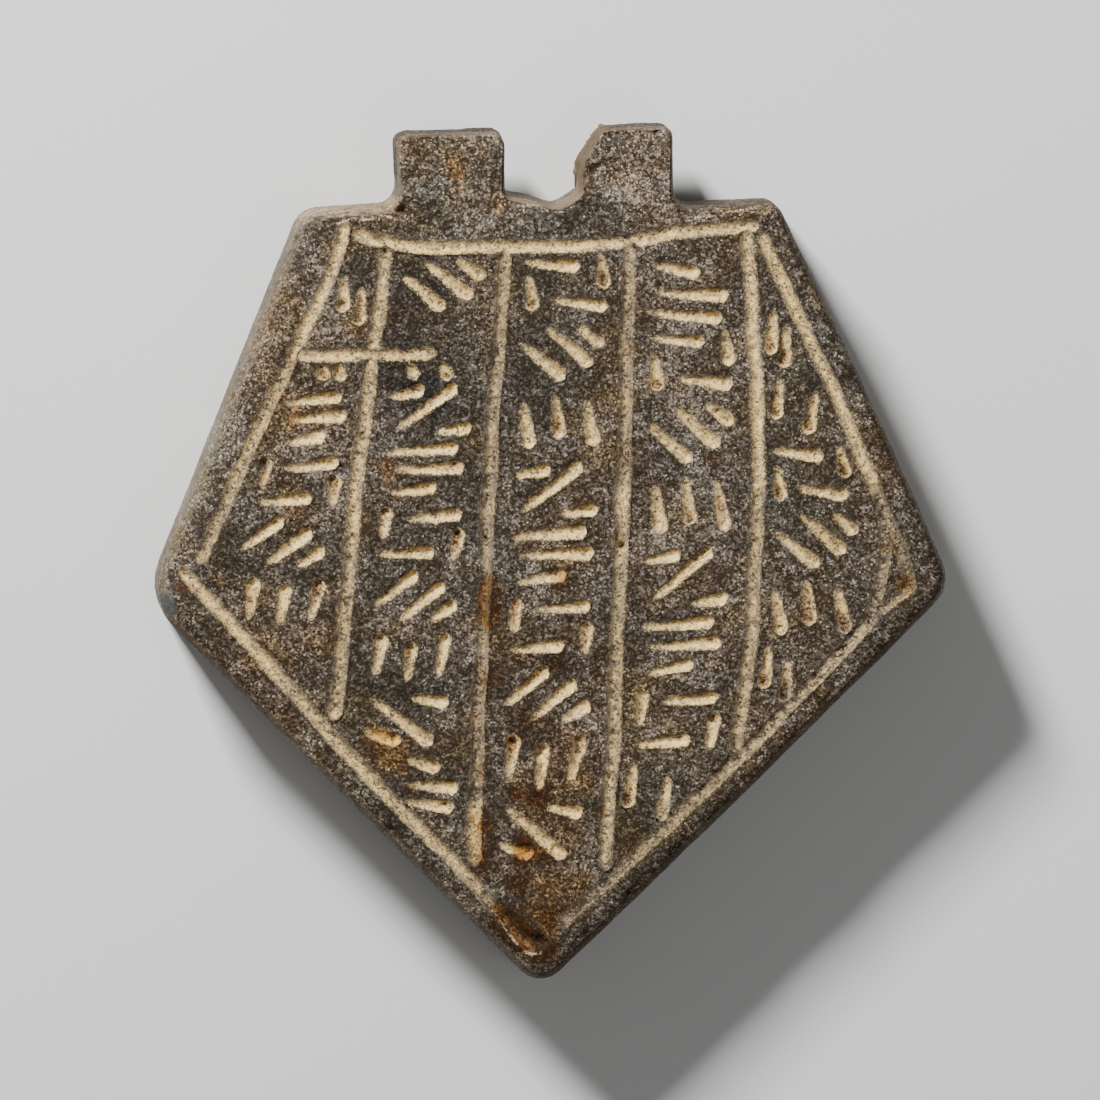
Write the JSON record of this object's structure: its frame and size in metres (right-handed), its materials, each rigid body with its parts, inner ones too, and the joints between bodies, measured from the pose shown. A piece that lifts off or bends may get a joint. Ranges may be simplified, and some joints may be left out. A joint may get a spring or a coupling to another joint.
{
  "type": "inscribed stone amulet",
  "caption": "Five-sided pendant plaque of dark speckled stone with ruled columns of carved strokes and the stumps of a broken suspension lug.",
  "frame": {"origin": "on the plain back, at the middle of the outline's box", "axes": "+Z out of the carved face, +Y towards the suspension lug, +X to the right as the carved face is seen"},
  "size_m": [0.06, 0.065, 0.01],
  "materials": {
    "dark_stone": "granular, worn matte, with pale earth in the carving"
  },
  "bodies": {
    "root": {"amulet": "dark_stone"}
  },
  "joints": []
}
